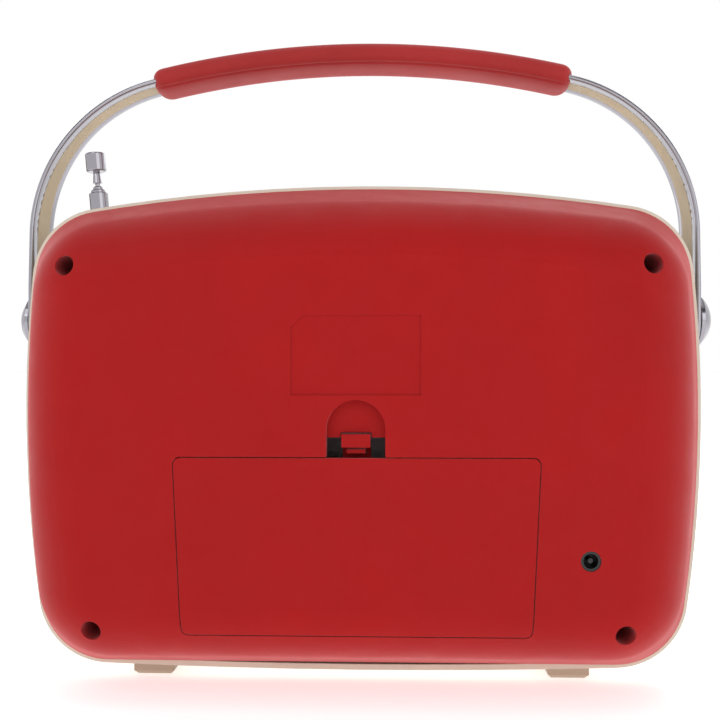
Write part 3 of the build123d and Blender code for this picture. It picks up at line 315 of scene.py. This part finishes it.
def handle_path(facts):
    """Points up one side, over the crown and down the other, each with its outward direction."""
    reach_x = facts["reach_x"]
    pivot_z = facts["pivot_z"]
    crown_z = facts["crown_z"]
    bend_x = reach_x - BEND_RADIUS
    reach = CROWN_RADIUS - BEND_RADIUS
    bend_z = crown_z + math.sqrt(reach ** 2 - bend_x ** 2)
    slant = math.atan2(bend_z - crown_z, bend_x)
    points = []
    for i in range(15):
        turn = math.radians(90 * (1 - i / 14))
        points.append((reach_x, pivot_z - 0.999 * EYE_RADIUS * math.sin(turn), 1.0, 0.0))
    for i in range(1, 24):
        points.append((reach_x, pivot_z + (bend_z - pivot_z) * i / 24, 1.0, 0.0))
    for i in range(31):
        turn = slant * i / 30
        out_x, out_z = math.cos(turn), math.sin(turn)
        points.append((bend_x + BEND_RADIUS * out_x, bend_z + BEND_RADIUS * out_z, out_x, out_z))
    for i in range(1, 41):
        turn = slant + (math.pi / 2 - slant) * i / 40
        out_x, out_z = math.cos(turn), math.sin(turn)
        points.append((CROWN_RADIUS * out_x, crown_z + CROWN_RADIUS * out_z, out_x, out_z))
    mirrored = [(-x, z, -out_x, out_z) for x, z, out_x, out_z in reversed(points[:-1])]
    return points + mirrored


def sweep(name, rows):
    """Mesh with closed ends through rows of points, each row one section."""
    mesh = bpy.data.meshes.new(name)
    count = len(rows[0])
    vertices = [point for row in rows for point in row]
    faces = []
    for r in range(len(rows) - 1):
        for k in range(count):
            n = (k + 1) % count
            faces.append((r * count + k, r * count + n, (r + 1) * count + n, (r + 1) * count + k))
    faces.append(tuple(reversed(range(count))))
    faces.append(tuple(range((len(rows) - 1) * count, len(rows) * count)))
    mesh.from_pydata(vertices, [], faces)
    mesh.validate()
    tidy = bmesh.new()
    tidy.from_mesh(mesh)
    bmesh.ops.remove_doubles(tidy, verts=tidy.verts, dist=0.000002)
    bmesh.ops.recalc_face_normals(tidy, faces=tidy.faces)
    tidy.to_mesh(mesh)
    tidy.free()
    return add_object(name, mesh)


def smooth(piece, angle):
    """Smooth shading that keeps sharp creases."""
    mesh = piece.data
    mesh.shade_smooth()
    mesh.set_sharp_from_angle(angle=math.radians(angle))


def band_width(z, facts):
    """Half width of the band at a height: a round eye, a wide leg, and a narrower crown."""
    pivot_z = facts["pivot_z"]
    start = pivot_z + EYE_RADIUS + EYE_BLEND
    end = facts["high_z"] - CROWN_DROP
    if z < pivot_z:
        return math.sqrt(max(1e-8, EYE_RADIUS ** 2 - (pivot_z - z) ** 2))
    if z < start:
        return EYE_RADIUS
    return EYE_RADIUS + (CROWN_HALF_WIDTH - EYE_RADIUS) * min(1.0, (z - start) / (end - start))


def rolled_rim(half, side, rim):
    """Points round one rolled edge of the band, on the side 1 or -1."""
    middle = -FACE_CROWN / 2
    reach = BAND_HALF_THICKNESS - FACE_CROWN / 2
    points = []
    for i in range(1, 8):
        turn = side * (math.pi / 2 - math.pi * i / 8)
        points.append((middle + reach * math.sin(turn), side * (half - rim + rim * math.cos(turn))))
    return points


def band_section(half, depth):
    """Section of the band as (out, across) points: a crowned face, rolled rims and a shallow channel."""
    rim = min(RIM_RADIUS, 0.45 * half)
    edge = half - rim
    points = []
    for i in range(13):
        share = -1 + 2 * i / 12
        points.append((BAND_HALF_THICKNESS - FACE_CROWN * abs(share) ** FACE_POWER, share * edge))
    points += rolled_rim(half, 1, rim)
    inner = -BAND_HALF_THICKNESS
    channel = max(0.1 * half, half - CHANNEL_MARGIN)
    step = inner + 0.2 * depth
    floor = inner + depth
    points += [(inner, edge), (inner, channel + CHANNEL_SLOPE), (step, channel), (floor, channel), (floor, 0),
               (floor, -channel), (step, -channel), (inner, -channel - CHANNEL_SLOPE), (inner, -edge)]
    return points + rolled_rim(half, -1, rim)


def finish_handle_piece(piece, node, slot, materials, angle):
    """Shades a handle piece, gives it its material and puts it in its node's place."""
    smooth(piece, angle)
    piece.data.materials.append(materials[slot])
    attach(piece, "handle")
    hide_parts(node)


def make_band(materials):
    """Bright band of the handle with a crowned face and rolled rims."""
    facts = handle_facts()
    rows = []
    for x, z, out_x, out_z in handle_path(facts):
        depth = CHANNEL_DEPTH if z > facts["pivot_z"] + EYE_RADIUS - EYE_BLEND else 0.0
        section = band_section(band_width(z, facts), depth)
        rows.append([(x + out * out_x, facts["y"] + across, z + out * out_z) for out, across in section])
    finish_handle_piece(sweep("handle_bright_band", rows), "handle_band", "chrome", materials, 40)


def grip_outline(angle, half_depth, half_height, cap):
    """Point (across, out) of the grip's squarish oval at an angle, with a parting groove low on each side."""
    c, n = math.cos(angle), math.sin(angle)
    across = math.copysign(abs(c) ** (2 / GRIP_SQUARENESS), c) * half_depth
    out = math.copysign(abs(n) ** (2 / GRIP_SQUARENESS), n) * half_height
    place = math.degrees(angle) % 360
    near = min(abs(place - groove) for groove in GROOVE_ANGLES)
    groove = GROOVE_DEPTH * math.exp(-(near / GROOVE_SPREAD) ** 2) * cap
    length = math.hypot(across, out)
    keep = (length - groove) / length
    return across * keep, out * keep


def make_grip(materials):
    """Soft moulded grip: a swollen oval with rounded ends and a parting groove along each side."""
    facts = handle_facts()
    low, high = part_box("handle_grip")
    half_depth = (high.y - low.y) / 2
    half_height = high.z - facts["top"]
    spread = math.asin(high.x / (CROWN_RADIUS + half_height))
    rows = []
    steps = 72
    around = 96
    for i in range(steps + 1):
        share = -1 + 2 * i / steps
        share = math.copysign(1 - (1 - abs(share)) ** 1.6, share)
        turn = spread * share
        from_end = (1 - abs(share)) * spread * CROWN_RADIUS
        cap = min(1.0, from_end / GRIP_END_LENGTH)
        swell = GRIP_END_SHARE + (1 - GRIP_END_SHARE) * math.sqrt(max(0.0, 1 - (1 - cap) ** 2))
        row = []
        for k in range(around):
            across, out = grip_outline(2 * math.pi * k / around, half_depth, half_height, cap)
            radius = CROWN_RADIUS + out * swell
            row.append((radius * math.sin(turn), facts["y"] + across * swell,
                        facts["crown_z"] + radius * math.cos(turn)))
        rows.append(row)
    finish_handle_piece(sweep("soft_grip", rows), "handle_grip", "red_rubber", materials, 60)


# ---------------------------------------------------------------- front markings
INK_DEPTH = 0.00008
FIGURE_SIZE = 0.0042
FIGURE_SPAN = 0.060
UPPER_DROP = 0.0085
LOWER_RISE = 0.0055
SIGN_HALF = 0.0019


def words(name, text, size, place, material, body):
    """Flat printed figures that face the front."""
    curve = bpy.data.curves.new(name, "FONT")
    curve.body = text
    curve.size = size
    curve.align_x = "CENTER"
    curve.extrude = INK_DEPTH / 2
    curve.resolution_u = 3
    holder = add_object(name, curve)
    holder.location = place
    holder.rotation_euler = (math.radians(90), 0, 0)
    bpy.context.view_layer.update()
    mesh = bpy.data.meshes.new_from_object(holder)
    mesh.transform(holder.matrix_world)
    bpy.data.objects.remove(holder)
    printed = add_object(name, mesh)
    printed.data.materials.append(material)
    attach(printed, body)


def make_dial_figures(materials):
    """Two rows of plain figures printed on the dial's card."""
    low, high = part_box("dial_scale")
    face = low.y + 0.0001
    upper = [88, 92, 96, 100, 104, 108]
    lower = [54, 60, 70, 80, 100, 120, 160]
    for row, figures in enumerate((upper, lower)):
        for i, figure in enumerate(figures):
            x = -FIGURE_SPAN + 2 * FIGURE_SPAN * i / (len(figures) - 1)
            z = high.z - UPPER_DROP if row == 0 else low.z + LOWER_RISE
            material = materials["ink"] if row == 0 else materials["red_ink"]
            place = (x, face, z)
            words(f"dial_figure_{row}_{i}", str(figure), FIGURE_SIZE, place, material, "case")


def flat_shape(name, outlines, face, material, body):
    """Thin printed shapes that face the front, each an outline of (x, z) points."""
    mesh = bpy.data.meshes.new(name)
    tidy = bmesh.new()
    for outline in outlines:
        ring = [tidy.verts.new((x, face, z)) for x, z in outline]
        tidy.faces.new(ring)
    made = bmesh.ops.extrude_face_region(tidy, geom=tidy.faces[:])
    moved = [one for one in made["geom"] if isinstance(one, bmesh.types.BMVert)]
    bmesh.ops.translate(tidy, verts=moved, vec=(0, -INK_DEPTH, 0))
    bmesh.ops.recalc_face_normals(tidy, faces=tidy.faces)
    tidy.to_mesh(mesh)
    tidy.free()
    printed = add_object(name, mesh)
    printed.data.materials.append(material)
    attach(printed, body)


def make_key_signs(materials):
    """Plain transport signs on the faces of the keys."""
    size = SIGN_HALF

    def bar(x, half):
        return [(x - half, -size), (x + half, -size), (x + half, size), (x - half, size)]

    def arrow(x, way):
        return [(x - way * size, -size), (x + way * size, 0), (x - way * size, size)]

    signs = {
        "key_pause": [bar(-0.0012, 0.0006), bar(0.0012, 0.0006)],
        "key_stop": [bar(0, size)],
        "key_rewind": [arrow(-0.002, -1), arrow(0.002, -1)],
        "key_forward": [arrow(-0.002, 1), arrow(0.002, 1)],
        "key_play": [arrow(0, 1)],
    }
    for key, shapes in signs.items():
        low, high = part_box(key)
        x = (low.x + high.x) / 2
        z = (low.z + high.z) / 2
        outlines = [[(x + dx, z + dz) for dx, dz in shape] for shape in shapes]
        flat_shape(key + "_sign", outlines, low.y, materials["ink"], key + "_body")


# ---------------------------------------------------------------- studio
FLOOR_GLOW = 0.55
FLOOR_HALF = 30.0


def make_floor():
    """Pale floor for the player to stand on, bright enough to vanish into the background."""
    size = FLOOR_HALF
    mesh = bpy.data.meshes.new("floor")
    corners = [(-size, -size, 0), (size, -size, 0), (size, size, 0), (-size, size, 0)]
    mesh.from_pydata(corners, [], [(0, 1, 2, 3)])
    floor = add_object("floor", mesh)
    material = surface("floor", linear(250, 250, 250), 0.7, grain=0.01, mottle=0.0,
                       specular=0.1, glow=FLOOR_GLOW)
    shader = material.node_tree.nodes["Principled BSDF"]
    shader.inputs["Emission Color"].default_value = (1, 1, 1, 1)
    floor.data.materials.append(material)


def make_light(name, place, aim, size, power):
    """One soft square light."""
    light = bpy.data.lights.new(name, "AREA")
    light.shape = "SQUARE"
    light.size = size
    light.energy = power
    holder = add_object(name, light)
    holder.location = place
    holder.rotation_euler = (Vector(aim) - Vector(place)).to_track_quat("-Z", "Y").to_euler()


def make_lights():
    """Soft light from all round, a little stronger from above."""
    centre = (0, 0, 0.13)
    make_light("key_back", (0.5, 1.3, 1.2), centre, 1.0, 4.5)
    make_light("fill_back", (-0.9, 1.1, 0.5), centre, 0.9, 2.0)
    make_light("top", (0, 0, 1.6), centre, 1.2, 4.0)
    make_light("key_front", (-0.6, -1.3, 1.1), centre, 1.0, 4.0)
    make_light("fill_front", (0.9, -1.1, 0.5), centre, 0.9, 1.7)


def make_world():
    """White surroundings that darken high overhead, so that bright metal has something to show."""
    world = bpy.data.worlds.new("world")
    bpy.context.scene.world = world
    world.use_nodes = True
    tree = world.node_tree
    place = tree.nodes.new("ShaderNodeTexCoord")
    split = tree.nodes.new("ShaderNodeSeparateXYZ")
    ramp = tree.nodes.new("ShaderNodeValToRGB")
    lift = tree.nodes.new("ShaderNodeMapRange")
    lift.inputs["From Min"].default_value = -1
    tree.links.new(place.outputs["Generated"], split.inputs[0])
    tree.links.new(split.outputs["Z"], lift.inputs["Value"])
    tree.links.new(lift.outputs["Result"], ramp.inputs["Fac"])
    background = tree.nodes["Background"]
    stops = ramp.color_ramp.elements
    stops[0].position = 0.0
    stops[0].color = (1, 1, 1, 1)
    stops[1].position = 1.0
    stops[1].color = (0.45, 0.45, 0.46, 1)
    for position, grey in ((0.70, 1.0), (0.76, 0.25), (0.86, 0.12), (0.93, 0.6)):
        stop = stops.new(position)
        stop.color = (grey, grey, grey, 1)
    background.inputs["Strength"].default_value = 1.0
    tree.links.new(ramp.outputs["Color"], background.inputs["Color"])


def main():
    make_camera()
    bpy.context.scene.view_settings.view_transform = "Standard"
    materials = make_materials()
    dress_nodes(materials)
    make_band(materials)
    make_grip(materials)
    make_dial_figures(materials)
    make_key_signs(materials)
    make_floor()
    make_lights()
    make_world()


main()
